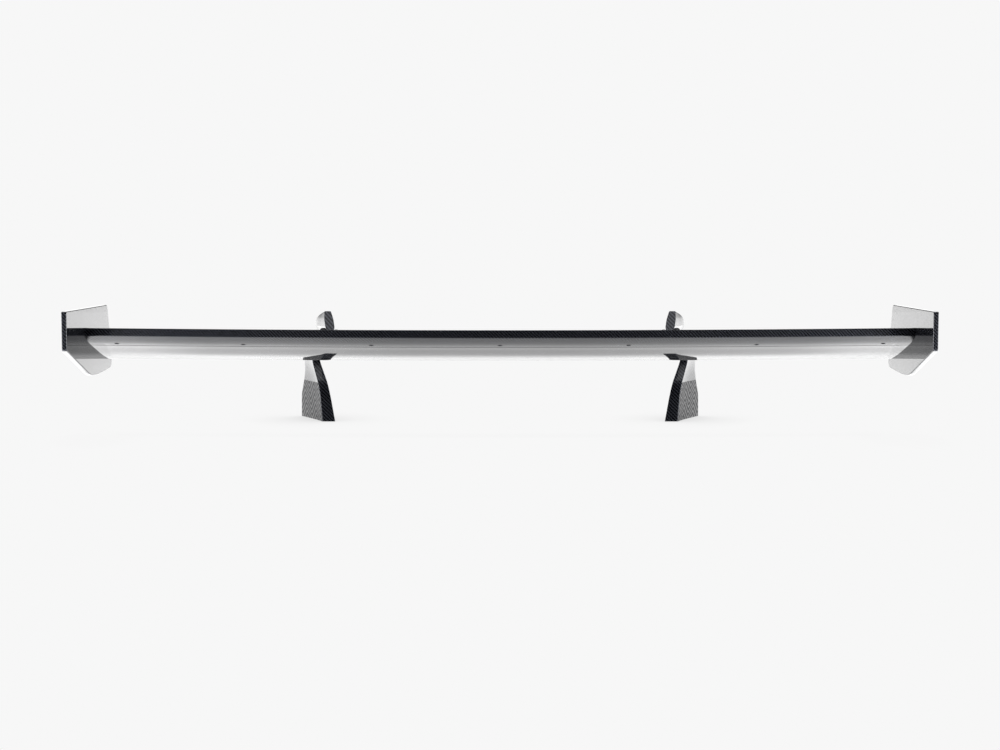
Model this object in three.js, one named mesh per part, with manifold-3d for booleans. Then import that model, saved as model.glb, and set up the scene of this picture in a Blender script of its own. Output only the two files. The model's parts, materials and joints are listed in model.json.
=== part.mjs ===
// Racing rear wing: a bowed carbon main plane with a screwed trailing-edge lip, two endplates, and two
// toed swan-neck uprights that rise ahead of the leading edge and reach back to hold the plane from above.
// Millimetres, +Z up, +Y forward (direction of travel), +X right. Shapes are drawn about the main plane
// and the finished group is moved so that its origin is on the boot, mid-span, under the middle of the
// bounding box.
import * as THREE from "three";
import { mergeVertices } from "three/addons/utils/BufferGeometryUtils.js";
import Module from "manifold-3d";

const wasm = await Module();
wasm.setup();

// Driving dimensions
const GAP = 0.3;                    // clearance left between neighbouring solids
const HALF_SPAN = 815;              // mid-span to the outer face of an endplate
const ENDPLATE_THICKNESS = 10;
const ENDPLATE_REAR = -200;         // an endplate's rear edge, Y
const HALF_PLANE = HALF_SPAN - ENDPLATE_THICKNESS - GAP;
const TE_Y = -97.5;                 // trailing edge, underside, at mid-span
const TE_Z = 165.4;
const TIP_SWEEP = 34;               // how far the trailing edge bows forward at the tips
const TIP_RISE = 3;                 // how far the tips rise
const CHORD = 232;
const TIP_CHORD_LOSS = 16.5;
const SPAN_STEPS = 10;
const SKIN = 2.6;                   // wall of the moulded shells

const LIP_HEIGHT = 15.3;            // rear face of the trailing-edge lip
const LIP_THICKNESS = 5;
const LIP_HEEL = 8.2;               // where the lip's root meets the upper shell
const STRIP_DEPTH = 52;             // how far the strip's flange reaches forward
const STRIP_THICKNESS = 3;
const STRIP_SCREWS = 7;
const STRIP_SCREW_PITCH = 250;
const STRIP_SCREW_INSET = 37;       // screw line, ahead of the trailing edge

const FOOT_Z = -45;                 // boot surface, below the drawing's zero
const FOOT_REAR = 392;
const FOOT_FRONT = 520;
const HEAD_LEAN = -0.03;            // upright's outward shift per mm of height, over the wing
const LEG_LEAN = 0.135;             // and in the leg
const NECK_REAR = 130;              // the lean changes from head to leg between these, in Y
const NECK_FRONT = 380;
const LEG_PLUMB_Z = 110;            // height at which the leg stands on its plan line
const HEAD_BOSS = 24;               // faced length of the bosses on the head, along X
const PIVOT = new THREE.Vector2(84, 162);       // angle pivot, Y and Z
const ANGLE_BOLT = new THREE.Vector2(36, 168);  // clamp bolt in the arc slot, Y and Z
const PIVOT_BOSS = 9.5;
const CLAMP_BOSS = 6;
const STEEPER = THREE.MathUtils.degToRad(2);    // travel of the angle joint, each way
const FLATTER = THREE.MathUtils.degToRad(5);
const LUG_THICKNESS = 4.5;
const LUG_GAP = 0.5;
const LUG_OUTER = HEAD_BOSS / 2 + LUG_GAP + LUG_THICKNESS;

const material = (color, roughness, metalness) =>
  new THREE.MeshStandardMaterial({ color, roughness, metalness });
const CARBON = material(0x14161c, 0.12, 0);
const BARE_CARBON = material(0x2a2b2d, 0.6, 0);
const BLACK_ALLOY = material(0x1b1c1e, 0.45, 0.6);
const ALLOY = material(0xb9bcc0, 0.4, 1);
const STEEL = material(0x8d9095, 0.35, 1);
const BLACK_STEEL = material(0x17181a, 0.4, 0.9);

const wing = new THREE.Group();

function add(name, geometry, surface) {
  const mesh = new THREE.Mesh(geometry, surface);
  mesh.name = name;
  wing.add(mesh);
  return mesh;
}

// Geometry helpers

function bare(geometry) {
  geometry.deleteAttribute("normal");
  geometry.deleteAttribute("uv");
  return mergeVertices(geometry, 1e-3);
}

function moved(geometry, move) {
  const place = geometry.getAttribute("position");
  const point = new THREE.Vector3();
  for (let i = 0; i < place.count; i += 1) {
    point.fromBufferAttribute(place, i);
    move(point);
    place.setXYZ(i, point.x, point.y, point.z);
  }
  return geometry;
}

// A copy on the other side of the car's centre plane, its faces still pointing out.
function mirrored(geometry) {
  const copy = moved(geometry.clone(), (p) => { p.x = -p.x; });
  const order = copy.getIndex();
  for (let i = 0; i < order.count; i += 3) {
    const first = order.getX(i);
    order.setX(i, order.getX(i + 1));
    order.setX(i + 1, first);
  }
  return copy;
}

// An outline in the Y-Z plane, drawn out along X and centred on x.
function slab(outline, x, thickness, steps = 1, round = 0) {
  const shape = outline instanceof THREE.Shape ? outline : new THREE.Shape(outline);
  const geometry = new THREE.ExtrudeGeometry(shape, {
    depth: thickness - 2 * round,
    steps,
    bevelEnabled: round > 0,
    bevelThickness: round,
    bevelSize: round,
    bevelOffset: -round,
    bevelSegments: 1,
    curveSegments: 4,
  });
  const start = x - thickness / 2 + round;
  return moved(bare(geometry), (p) => p.set(start + p.z, p.x, p.y));
}

function solid(geometry) {
  return new wasm.Manifold(new wasm.Mesh({
    numProp: 3,
    vertProperties: new Float32Array(geometry.getAttribute("position").array),
    triVerts: new Uint32Array(geometry.getIndex().array),
  }));
}

function fromSolid(body) {
  const mesh = body.getMesh();
  const geometry = new THREE.BufferGeometry();
  geometry.setAttribute("position", new THREE.BufferAttribute(mesh.vertProperties, 3));
  geometry.setIndex(new THREE.BufferAttribute(mesh.triVerts, 1));
  return geometry;
}

function cut(geometry, cutters) {
  let body = solid(geometry);
  for (const cutter of cutters) body = body.subtract(solid(cutter));
  return fromSolid(body);
}

function joined(geometries) {
  let body = solid(geometries[0]);
  for (const geometry of geometries.slice(1)) body = body.add(solid(geometry));
  return fromSolid(body);
}

// A turned solid about its own Z axis; the profile is pairs of radius and height.
function turned(profile, segments = 12) {
  const points = profile.map(([radius, height]) => new THREE.Vector2(radius, height));
  return bare(new THREE.LatheGeometry(points, segments)).rotateX(Math.PI / 2);
}

// Puts a geometry whose axis is Z at a point, with its +Z along a direction.
function aimed(geometry, point, direction) {
  const turn = new THREE.Quaternion().setFromUnitVectors(new THREE.Vector3(0, 0, 1), direction);
  return geometry.clone().applyQuaternion(turn).translate(point.x, point.y, point.z);
}

// Main plane section, in distance forward of the trailing edge and height above it

const LOWER = new THREE.SplineCurve([
  [0, 0], [33, -15], [85, -28.7], [140, -42.7], [190, -53.2], [216, -57.2], [229, -53.5], [232, -46],
].map(([s, z]) => new THREE.Vector2(s, z)));
const UPPER = new THREE.SplineCurve([
  [232, -46], [225, -36.5], [190, -25], [140, -13], [85, -4.5], [40, -0.5], [LIP_THICKNESS, 1.5],
].map(([s, z]) => new THREE.Vector2(s, z)));

// Height of a section curve at one distance from the trailing edge.
function heightAt(curve, distance) {
  const points = curve.getPoints(120);
  for (let i = 1; i < points.length; i += 1) {
    const a = points[i - 1];
    const b = points[i];
    if ((a.x - distance) * (b.x - distance) <= 0 && a.x !== b.x) {
      return a.y + ((b.y - a.y) * (distance - a.x)) / (b.x - a.x);
    }
  }
  return curve.getPoint(1).y;
}

// The curve between two distances, shifted along its own normal by inward; turn is 1 on the lower curve,
// -1 on the upper one.
function stretch(curve, from, to, count, inward, turn) {
  const points = [];
  for (let i = 0; i <= count; i += 1) {
    const distance = from + ((to - from) * i) / count;
    const slope = (heightAt(curve, distance + 0.5) - heightAt(curve, distance - 0.5));
    const length = Math.hypot(1, slope);
    points.push(new THREE.Vector2(distance - (turn * inward * slope) / length,
      heightAt(curve, distance) + (turn * inward) / length));
  }
  return points;
}

const bowAt = (x) => (x / HALF_SPAN) ** 2;

// Carries a point of the straight section at its own X onto the bowed, tapered plane.
function bow(p) {
  const share = bowAt(p.x);
  const scale = 1 - (TIP_CHORD_LOSS / CHORD) * share;
  p.y = TE_Y + TIP_SWEEP * share + p.y * scale;
  p.z = TE_Z + TIP_RISE * share + p.z;
}

const NOSE_SPLIT = 218;             // the two shells meet around the nose, ahead of this
const LEADING_EDGE = LOWER.getPoint(1);

function nosePoints(curve, inward) {
  const centre = new THREE.Vector2(NOSE_SPLIT, -46);
  const points = curve.getPoints(60).filter((p) => p.x > NOSE_SPLIT + 0.5 && p.x < CHORD - 0.2);
  points.sort((a, b) => a.x - b.x);
  const kept = points.filter((_, i) => i % 3 === 0);
  return kept.map((p) => p.clone().sub(centre).setLength(p.distanceTo(centre) - inward).add(centre));
}

function lowerSkinOutline() {
  const rebate = STRIP_THICKNESS + GAP;
  const tail = stretch(LOWER, 13, STRIP_DEPTH, 3, rebate, 1);
  const belly = stretch(LOWER, STRIP_DEPTH + GAP, NOSE_SPLIT, 8, 0, 1);
  const nose = nosePoints(LOWER, 0);
  const seam = new THREE.Vector2(LEADING_EDGE.x, LEADING_EDGE.y - GAP);
  const seamIn = new THREE.Vector2(LEADING_EDGE.x - SKIN, LEADING_EDGE.y - GAP);
  const noseIn = nosePoints(LOWER, SKIN).reverse();
  const bellyIn = stretch(LOWER, STRIP_DEPTH + 6, NOSE_SPLIT, 7, SKIN, 1).reverse();
  const tailIn = stretch(LOWER, 16, STRIP_DEPTH - 2, 3, rebate + 1.8, 1).reverse();
  return [...tail, ...belly, ...nose, seam, seamIn, ...noseIn, ...bellyIn, ...tailIn];
}

function upperSkinOutline() {
  const top = stretch(UPPER, LIP_HEEL + GAP, NOSE_SPLIT, 9, 0, 1);
  const nose = nosePoints(UPPER, 0);
  const seam = new THREE.Vector2(LEADING_EDGE.x, LEADING_EDGE.y + GAP);
  const seamIn = new THREE.Vector2(LEADING_EDGE.x - SKIN, LEADING_EDGE.y + GAP);
  const noseIn = nosePoints(UPPER, SKIN).reverse();
  const topIn = stretch(UPPER, 24, NOSE_SPLIT, 8, SKIN, -1).reverse();
  const tail = stretch(UPPER, LIP_HEEL + GAP, 16, 1, 1.5, -1).reverse();
  return [...top, ...nose, seam, seamIn, ...noseIn, ...topIn, ...tail];
}

function spanwise(outline, length = 2 * HALF_PLANE) {
  return moved(slab(outline, 0, length, SPAN_STEPS), bow);
}

// Trailing-edge strip: flange under the plane and the upright lip at its rear
function stripOutline() {
  const under = stretch(LOWER, 0, STRIP_DEPTH, 4, 0, 1);
  const over = stretch(LOWER, LIP_HEEL - 1.2, STRIP_DEPTH, 3, STRIP_THICKNESS, 1).reverse();
  const lip = [
    new THREE.Vector2(LIP_HEEL, heightAt(UPPER, LIP_HEEL)),
    new THREE.Vector2(LIP_THICKNESS, heightAt(UPPER, LIP_THICKNESS + 0.1) + 0.2),
    new THREE.Vector2(LIP_THICKNESS, LIP_HEIGHT - 1.5),
    new THREE.Vector2(LIP_THICKNESS - 1.5, LIP_HEIGHT),
    new THREE.Vector2(1.2, LIP_HEIGHT),
    new THREE.Vector2(0, LIP_HEIGHT - 1.2),
  ];
  return [...under, ...over, ...lip];
}

// Where a strip screw sits, and the way its head points (down, square to the flange)
function stripScrewPlace(x) {
  const point = new THREE.Vector3(x, STRIP_SCREW_INSET, heightAt(LOWER, STRIP_SCREW_INSET));
  const ahead = new THREE.Vector3(x, STRIP_SCREW_INSET + 2, heightAt(LOWER, STRIP_SCREW_INSET + 2));
  const behind = new THREE.Vector3(x, STRIP_SCREW_INSET - 2, heightAt(LOWER, STRIP_SCREW_INSET - 2));
  [point, ahead, behind].forEach(bow);
  const along = ahead.sub(behind).normalize();
  const face = new THREE.Vector3(0, along.z, -along.y).normalize();
  return { point, face };
}

// Countersunk screw with a hex socket: the head's flat face is at the origin, facing +Z.
function countersunk(headRadius, headDepth, shankRadius, length) {
  const body = turned([
    [0, -length], [shankRadius, -length], [shankRadius, -headDepth], [headRadius, 0], [0, 0],
  ]);
  const socket = bare(new THREE.CylinderGeometry(headRadius * 0.5, headRadius * 0.5, headDepth, 6));
  return cut(body, [socket.rotateX(Math.PI / 2)]);
}

// The hole for a countersunk screw, open a little past the face.
function countersink(headRadius, headDepth, shankRadius, length) {
  const wide = headRadius + GAP;
  const narrow = shankRadius + GAP;
  return turned([
    [0, -length], [narrow, -length], [narrow, -headDepth - GAP], [wide, 0], [wide, 2], [0, 2],
  ]);
}

const STRIP_SCREW = [4, 2, 2, 7.5];
const stripScrewXs = Array.from({ length: STRIP_SCREWS }, (_, i) =>
  (i - (STRIP_SCREWS - 1) / 2) * STRIP_SCREW_PITCH);
const stripHoles = stripScrewXs.map((x) => {
  const { point, face } = stripScrewPlace(x);
  return aimed(countersink(STRIP_SCREW[0], STRIP_SCREW[1], STRIP_SCREW[2], 12), point, face);
});

add("wing_lower_skin", cut(spanwise(lowerSkinOutline()), stripHoles), CARBON);
add("trailing_edge_strip", cut(spanwise(stripOutline()), stripHoles), CARBON);
stripScrewXs.forEach((x, i) => {
  const { point, face } = stripScrewPlace(x);
  const sunk = point.clone().addScaledVector(face, -0.2);
  add(`strip_screw_${i + 1}`, aimed(countersunk(...STRIP_SCREW), sunk, face), BLACK_STEEL);
});

// Inside the plane: one spar, two ribs under the brackets, two end ribs

const SPAR_FROM = 198;
const SPAR_TO = 214;
const END_RIB = 12;
const CORE_GAP = 1.2;               // bond line between the inner pieces and the shells

function coreOutline(from, to, count) {
  const low = stretch(LOWER, from, to, count, SKIN + CORE_GAP, 1);
  const high = stretch(UPPER, to, from, count, SKIN + CORE_GAP, -1);
  return [...low, ...high];
}

function sparOutline() {
  const shape = new THREE.Shape(coreOutline(SPAR_FROM, SPAR_TO, 2));
  const low = stretch(LOWER, SPAR_FROM + 2.5, SPAR_TO - 2.5, 1, SKIN + 3, 1);
  const high = stretch(UPPER, SPAR_TO - 2.5, SPAR_FROM + 2.5, 1, SKIN + 3, -1);
  shape.holes.push(new THREE.Path([...low, ...high]));
  return shape;
}

function rib(outline, x, thickness) {
  return moved(slab(outline, x, thickness, 1), bow);
}

add("wing_spar", spanwise(sparOutline(), 2 * (HALF_PLANE - END_RIB - 1)), BARE_CARBON);

const BRACKET_SCREW = [3.9, 2.2, 2, 11];
const BRACKET_FROM = 14;            // bracket footprint, Y
const BRACKET_TO = 106;
const BRACKET_BASE = 4;
const BRACKET_HALF_WIDTH = 17;
const BRACKET_SEAT = 2.2;           // the base clears the crown of the upper shell by this
const MOUNT_RIB_WIDTH = 22;
const BRACKET_MIDDLE = (BRACKET_FROM + BRACKET_TO) / 2;

const ramp = (value, from, to) => THREE.MathUtils.clamp((value - from) / (to - from), 0, 1);

// Middle of the right upright seen from above (Y, X): toed at the head, nearly straight along the neck,
// toed again down the leg.
const UPRIGHT_PLAN = new THREE.SplineCurve([
  [-20, 321.6], [20, 336], [60, 350.5], [110, 368], [180, 378], [280, 384.5], [360, 391], [392, 400.5],
  [440, 421], [530, 466.5],
].map(([y, x]) => new THREE.Vector2(y, x)));

function legX(y, z) {
  const forward = ramp(y, NECK_REAR, NECK_FRONT);
  const lean = THREE.MathUtils.lerp(HEAD_LEAN, LEG_LEAN, forward);
  const plumb = THREE.MathUtils.lerp(PIVOT.y, LEG_PLUMB_Z, forward);
  return heightAt(UPRIGHT_PLAN, y) + lean * (z - plumb);
}

const headX = (y) => legX(y, PIVOT.y);

// The wing's upper face under a bracket, at one Y
function roofAt(y) {
  const share = bowAt(headX(y));
  const scale = 1 - (TIP_CHORD_LOSS / CHORD) * share;
  const distance = (y - TE_Y - TIP_SWEEP * share) / scale;
  return TE_Z + TIP_RISE * share + heightAt(UPPER, distance);
}

const ROOF_SLOPE = (roofAt(BRACKET_TO) - roofAt(BRACKET_FROM)) / (BRACKET_TO - BRACKET_FROM);
const bracketFloor = (y) => roofAt(BRACKET_FROM) + ROOF_SLOPE * (y - BRACKET_FROM) + BRACKET_SEAT;
const bracketUp = new THREE.Vector3(0, -ROOF_SLOPE, 1).normalize();
const bracketScrewYs = [BRACKET_FROM + 7, BRACKET_TO - 7];

function bracketScrewPoint(y) {
  return new THREE.Vector3(headX(y), y, bracketFloor(y)).addScaledVector(bracketUp, BRACKET_BASE);
}

// Bore drilled along X through whatever holds the bolt.
function crossBore(place, radius, x, length) {
  const bore = bare(new THREE.CylinderGeometry(radius, radius, length, 12));
  return bore.rotateZ(Math.PI / 2).translate(x, place.x, place.y);
}

// The arc slot that the clamp bolt runs in, as a solid to be cut from both lugs.
function arcSlot(radius, x, length) {
  const arm = ANGLE_BOLT.clone().sub(PIVOT);
  const reach = arm.length();
  const middle = arm.angle();
  const margin = 0.3 / reach;
  const from = middle - FLATTER - margin;
  const to = middle + STEEPER + margin;
  const at = (angle, r) => new THREE.Vector2(Math.cos(angle) * r, Math.sin(angle) * r).add(PIVOT);
  const points = [];
  for (let i = 0; i <= 6; i += 1) points.push(at(from + ((to - from) * i) / 6, reach + radius));
  for (let i = 1; i < 6; i += 1) points.push(endArc(at(to, reach), to, (Math.PI * i) / 6, radius));
  for (let i = 6; i >= 0; i -= 1) points.push(at(from + ((to - from) * i) / 6, reach - radius));
  for (let i = 1; i < 6; i += 1) {
    points.push(endArc(at(from, reach), from + Math.PI, (Math.PI * i) / 6, radius));
  }
  return slab(points, x, length);
}

function endArc(centre, heading, turn, radius) {
  const angle = heading + turn;
  return new THREE.Vector2(centre.x + Math.cos(angle) * radius, centre.y + Math.sin(angle) * radius);
}

// One lug: a tab that rises from the base, rounded over the bolt
function lugOutline(place, halfWidth, top) {
  const lug = new THREE.Shape();
  lug.moveTo(place.x - halfWidth, bracketFloor(place.x - halfWidth) + 1);
  lug.lineTo(place.x + halfWidth, bracketFloor(place.x + halfWidth) + 1);
  lug.lineTo(place.x + halfWidth, top - halfWidth * 0.7);
  lug.quadraticCurveTo(place.x + halfWidth, top, place.x, top);
  lug.quadraticCurveTo(place.x - halfWidth, top, place.x - halfWidth, top - halfWidth * 0.7);
  return lug;
}

// Bracket on the upper face: a toed base with a pair of lugs at the pivot and a pair at the clamp
function bracket() {
  const floor = (y, up) => new THREE.Vector2(y, bracketFloor(y) + up);
  const base = slab([
    floor(BRACKET_FROM, 0), floor(BRACKET_TO, 0),
    floor(BRACKET_TO, BRACKET_BASE), floor(BRACKET_FROM, BRACKET_BASE),
  ], 0, 2 * BRACKET_HALF_WIDTH);
  const bodies = [moved(base, (p) => { p.x += headX(p.y); })];
  const offset = LUG_OUTER - LUG_THICKNESS / 2;
  for (const side of [-1, 1]) {
    bodies.push(slab(lugOutline(PIVOT, 10.5, PIVOT.y + 10.5), headX(PIVOT.x) + side * offset,
      LUG_THICKNESS));
    bodies.push(slab(lugOutline(ANGLE_BOLT, 10, ANGLE_BOLT.y + 8), headX(ANGLE_BOLT.x) + side * offset,
      LUG_THICKNESS));
  }
  const cutters = bracketScrewYs.map((y) =>
    aimed(countersink(BRACKET_SCREW[0], BRACKET_SCREW[1], BRACKET_SCREW[2], 12),
      bracketScrewPoint(y), bracketUp));
  cutters.push(crossBore(PIVOT, 4 + GAP, headX(PIVOT.x), 50));
  cutters.push(arcSlot(3 + GAP, headX(ANGLE_BOLT.x), 50));
  return cut(joined(bodies), cutters);
}

const bracketHoles = bracketScrewYs.map((y) =>
  aimed(turned([[0, -30], [2.3, -30], [2.3, 3], [0, 3]]), bracketScrewPoint(y), bracketUp));
const mountRibOutline = coreOutline(98, SPAR_FROM - 2, 4);

function bothSides(name, geometry, surface) {
  add(`${name}_left`, mirrored(geometry), surface);
  add(`${name}_right`, geometry, surface);
}

const skinHoles = [...bracketHoles, ...bracketHoles.map(mirrored)];
add("wing_upper_skin", cut(spanwise(upperSkinOutline()), skinHoles), CARBON);
const mountRib = moved(rib(mountRibOutline, headX(BRACKET_MIDDLE), MOUNT_RIB_WIDTH),
  (p) => { p.x += headX(p.y) - headX(BRACKET_MIDDLE); });
bothSides("bracket_rib", cut(mountRib, bracketHoles), BARE_CARBON);
bothSides("angle_bracket", bracket(), BLACK_ALLOY);
bracketScrewYs.forEach((y, i) => {
  const sunk = bracketScrewPoint(y).addScaledVector(bracketUp, -0.2);
  const label = i === 0 ? "rear" : "front";
  bothSides(`bracket_screw_${label}`, aimed(countersunk(...BRACKET_SCREW), sunk, bracketUp), BLACK_STEEL);
});

// Endplates, held to the end ribs by countersunk screws from outside

const ENDPLATE_SCREW = [6, 3.2, 3, 17];
const endplateScrewShares = [68, 128, 196];   // distance forward of the trailing edge

function endplateOutline() {
  const shape = new THREE.Shape();
  shape.moveTo(ENDPLATE_REAR, 150);
  shape.lineTo(ENDPLATE_REAR, 216);
  shape.quadraticCurveTo(ENDPLATE_REAR, 220, ENDPLATE_REAR + 4, 220);
  shape.lineTo(122, 222);
  shape.quadraticCurveTo(128, 222, 130, 216);
  shape.lineTo(142, 178);
  shape.lineTo(159, 114);
  shape.quadraticCurveTo(163, 96, 146, 92);
  shape.quadraticCurveTo(95, 88, 40, 86);
  shape.quadraticCurveTo(-10, 85, -34, 93);
  shape.lineTo(ENDPLATE_REAR + 3, 146);
  shape.quadraticCurveTo(ENDPLATE_REAR, 147, ENDPLATE_REAR, 150);
  return shape;
}

function endRibPlace(distance) {
  const middle = (heightAt(LOWER, distance) + heightAt(UPPER, distance)) / 2;
  const point = new THREE.Vector3(HALF_PLANE, distance, middle);
  bow(point);
  point.x = HALF_SPAN;
  return point;
}

const outward = new THREE.Vector3(1, 0, 0);
const endplateHoles = endplateScrewShares.map((distance) =>
  aimed(countersink(ENDPLATE_SCREW[0], ENDPLATE_SCREW[1], ENDPLATE_SCREW[2], 30),
    endRibPlace(distance), outward));
const endplateSlab = slab(endplateOutline(), HALF_SPAN - ENDPLATE_THICKNESS / 2, ENDPLATE_THICKNESS, 1, 1.2);
const endRibSlab = rib(coreOutline(58, 214, 8), HALF_PLANE - END_RIB / 2 - GAP, END_RIB);
bothSides("endplate", cut(endplateSlab, endplateHoles), CARBON);
bothSides("end_rib", cut(endRibSlab, endplateHoles), BARE_CARBON);
endplateScrewShares.forEach((distance, i) => {
  const sunk = endRibPlace(distance).addScaledVector(outward, -0.2);
  bothSides(`endplate_screw_${i + 1}`, aimed(countersunk(...ENDPLATE_SCREW), sunk, outward), BLACK_STEEL);
});

// Uprights: tapering leg, swan neck and head, as stations from the boot to the tip over the wing.
// Each station is one line across the plate: its front or top end, then its rear or lower end, in Y and Z.
const UPRIGHT_STATIONS = [
  [FOOT_FRONT, FOOT_Z, FOOT_REAR, FOOT_Z], [514, -20, 391, -15], [506, 8, 391, 12], [487, 38, 396, 40],
  [474, 66, 410, 64], [471, 90, 421, 86], [462, 117, 419, 98], [440, 136, 402, 112], [400, 148, 368, 122],
  [340, 156, 318, 129.5], [260, 162, 247, 136.5], [180, 166.5, 176, 143.5], [134, 168.8, 131, 150],
  [112, 170.8, 110, 153.8], [102, 175, 96, 155.5], [105, 183, 84, 157], [109, 191, 72, 159],
  [95, 198.5, 58, 161], [75, 206, 44, 163.5], [50, 212, 23, 170],
];
const ACROSS = 4;                   // strips across each side of the plate

// Width along X by height: wide at the boot, slim at the neck, with a shoulder above the bracket's lugs
function uprightThickness(z) {
  const leg = THREE.MathUtils.lerp(29, 21.4, ramp(z, FOOT_Z, 40));
  const neck = THREE.MathUtils.lerp(leg, 17.3, ramp(z, 40, 90));
  const head = THREE.MathUtils.lerp(neck, 13, ramp(z, 130, 165));
  const shoulder = THREE.MathUtils.lerp(head, 18.5, ramp(z, 173, 180));
  return THREE.MathUtils.lerp(shoulder, 12.8, ramp(z, 196, 212));
}

// Row of points across one side (-1 or 1) of the plate at a station, from the rear or lower end
function uprightRow([frontY, frontZ, rearY, rearZ], side) {
  return Array.from({ length: ACROSS + 1 }, (_, i) => {
    const y = THREE.MathUtils.lerp(rearY, frontY, i / ACROSS);
    const z = THREE.MathUtils.lerp(rearZ, frontZ, i / ACROSS);
    return new THREE.Vector3(legX(y, z) + (side * uprightThickness(z)) / 2, y, z);
  });
}

// The plate's closed surface: one ring of points per station, joined in order, with a cap at each end
function uprightBlank() {
  const rings = UPRIGHT_STATIONS.map((station) =>
    [...uprightRow(station, -1), ...uprightRow(station, 1).reverse()]);
  const count = rings[0].length;
  const faces = [];
  const quad = (a, b, c, d) => faces.push(a, c, b, a, d, c);
  for (let k = 0; k + 1 < rings.length; k += 1) {
    for (let i = 0; i < count; i += 1) {
      const j = (i + 1) % count;
      quad(k * count + i, k * count + j, (k + 1) * count + j, (k + 1) * count + i);
    }
  }
  const last = (rings.length - 1) * count;
  for (let i = 0; i < ACROSS; i += 1) {
    quad(i, count - 1 - i, count - 2 - i, i + 1);
    quad(last + i, last + i + 1, last + count - 2 - i, last + count - 1 - i);
  }
  const geometry = new THREE.BufferGeometry().setFromPoints(rings.flat());
  geometry.setIndex(faces);
  return geometry;
}

// Boss on the head, faced square to X so that the bolts of both uprights share one line
function boss(place, radius) {
  return crossBore(place, radius, headX(place.x), HEAD_BOSS);
}

function upright() {
  const body = joined([uprightBlank(), boss(PIVOT, PIVOT_BOSS), boss(ANGLE_BOLT, CLAMP_BOSS)]);
  return cut(body, [
    crossBore(PIVOT, 6 + GAP, headX(PIVOT.x), 40),
    crossBore(ANGLE_BOLT, 3 + GAP, headX(ANGLE_BOLT.x), 40),
    footBlock(GAP, FOOT_Z - 2, FOOT_Z + FOOT_PLATE_HEIGHT + GAP),
  ]);
}

// Alloy plate set into the underside of the foot; its pocket is the same block grown by the gap
const FOOT_PLATE_FROM = FOOT_REAR + 18;
const FOOT_PLATE_TO = FOOT_FRONT - 14;
const FOOT_PLATE_HALF_WIDTH = 8.5;
const FOOT_PLATE_HEIGHT = 14;
const INSERT_YS = [430, 488];
const footX = (y) => legX(y, FOOT_Z);

function footBlock(grow, floor, ceiling) {
  const outline = [
    new THREE.Vector2(FOOT_PLATE_FROM - grow, floor),
    new THREE.Vector2(FOOT_PLATE_TO + grow, floor),
    new THREE.Vector2(FOOT_PLATE_TO + grow, ceiling),
    new THREE.Vector2(FOOT_PLATE_FROM - grow, ceiling),
  ];
  const block = slab(outline, 0, 2 * (FOOT_PLATE_HALF_WIDTH + grow));
  return moved(block, (p) => { p.x += footX(p.y); });
}

function insertPoint(y) {
  return new THREE.Vector3(footX(y), y, FOOT_Z);
}

const down = new THREE.Vector3(0, 0, -1);
const insertHoles = INSERT_YS.map((y) =>
  aimed(turned([[0, -12.5], [5.5 + GAP, -12.5], [5.5 + GAP, 2], [0, 2]]), insertPoint(y), down));
// Threaded bush with a blind bore for the M8 bolt that comes up through the boot lid
const insert = turned([[0, -12], [5.5, -12], [5.5, 0], [4, 0], [4, -10.5], [0, -10.5]]);

bothSides("upright", upright(), CARBON);
bothSides("foot_plate", cut(footBlock(0, FOOT_Z, FOOT_Z + FOOT_PLATE_HEIGHT), insertHoles), ALLOY);
INSERT_YS.forEach((y, i) => {
  const label = i === 0 ? "rear" : "front";
  bothSides(`foot_insert_${label}`, aimed(insert, insertPoint(y), down), STEEL);
});

// Pivot and clamp hardware, all with their axes along X

// Button-head bolt: the head's underside is at the origin, the shank runs to -Z.
function buttonBolt(shankRadius, length, headRadius, headHeight) {
  const body = turned([
    [0, -length], [shankRadius, -length], [shankRadius, 0], [headRadius, 0],
    [headRadius, headHeight * 0.45], [headRadius * 0.72, headHeight * 0.92], [0, headHeight],
  ]);
  const socket = bare(new THREE.CylinderGeometry(shankRadius * 0.6, shankRadius * 0.6, headHeight * 1.3, 6));
  return cut(body, [socket.rotateX(Math.PI / 2).translate(0, 0, headHeight)]);
}

function nut(boreRadius, acrossCorners, height) {
  const body = bare(new THREE.CylinderGeometry(acrossCorners, acrossCorners, height, 6));
  const bore = bare(new THREE.CylinderGeometry(boreRadius + GAP, boreRadius + GAP, height * 2, 16));
  return cut(body, [bore]).rotateX(Math.PI / 2).translate(0, 0, height / 2);
}

const inward = new THREE.Vector3(-1, 0, 0);
const boltGrip = 2 * (LUG_OUTER + GAP);

function crossBolt(name, place, radius, headRadius, nutRadius) {
  const head = new THREE.Vector3(headX(place.x) + boltGrip / 2, place.x, place.y);
  const foot = new THREE.Vector3(headX(place.x) - boltGrip / 2, place.x, place.y);
  const boltLength = boltGrip + radius * 1.5 + 2;
  bothSides(`${name}_bolt`, aimed(buttonBolt(radius, boltLength, headRadius, radius * 1.1), head, outward),
    STEEL);
  bothSides(`${name}_nut`, aimed(nut(radius, nutRadius, radius * 1.5), foot, inward), STEEL);
}

crossBolt("pivot", PIVOT, 4, 7, 7.4);
crossBolt("clamp", ANGLE_BOLT, 3, 5.5, 5.7);

// Bronze bush pressed into the head, which the pivot bolt turns in
const bush = turned([
  [4 + GAP, -HEAD_BOSS / 2], [6, -HEAD_BOSS / 2], [6, HEAD_BOSS / 2],
  [4 + GAP, HEAD_BOSS / 2], [4 + GAP, -HEAD_BOSS / 2],
]);
bothSides("pivot_bush", aimed(bush, new THREE.Vector3(headX(PIVOT.x), PIVOT.x, PIVOT.y), outward),
  material(0xa8793c, 0.35, 1));

wing.position.set(0, -(FOOT_FRONT + ENDPLATE_REAR) / 2, -FOOT_Z);

export default wing;
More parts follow.
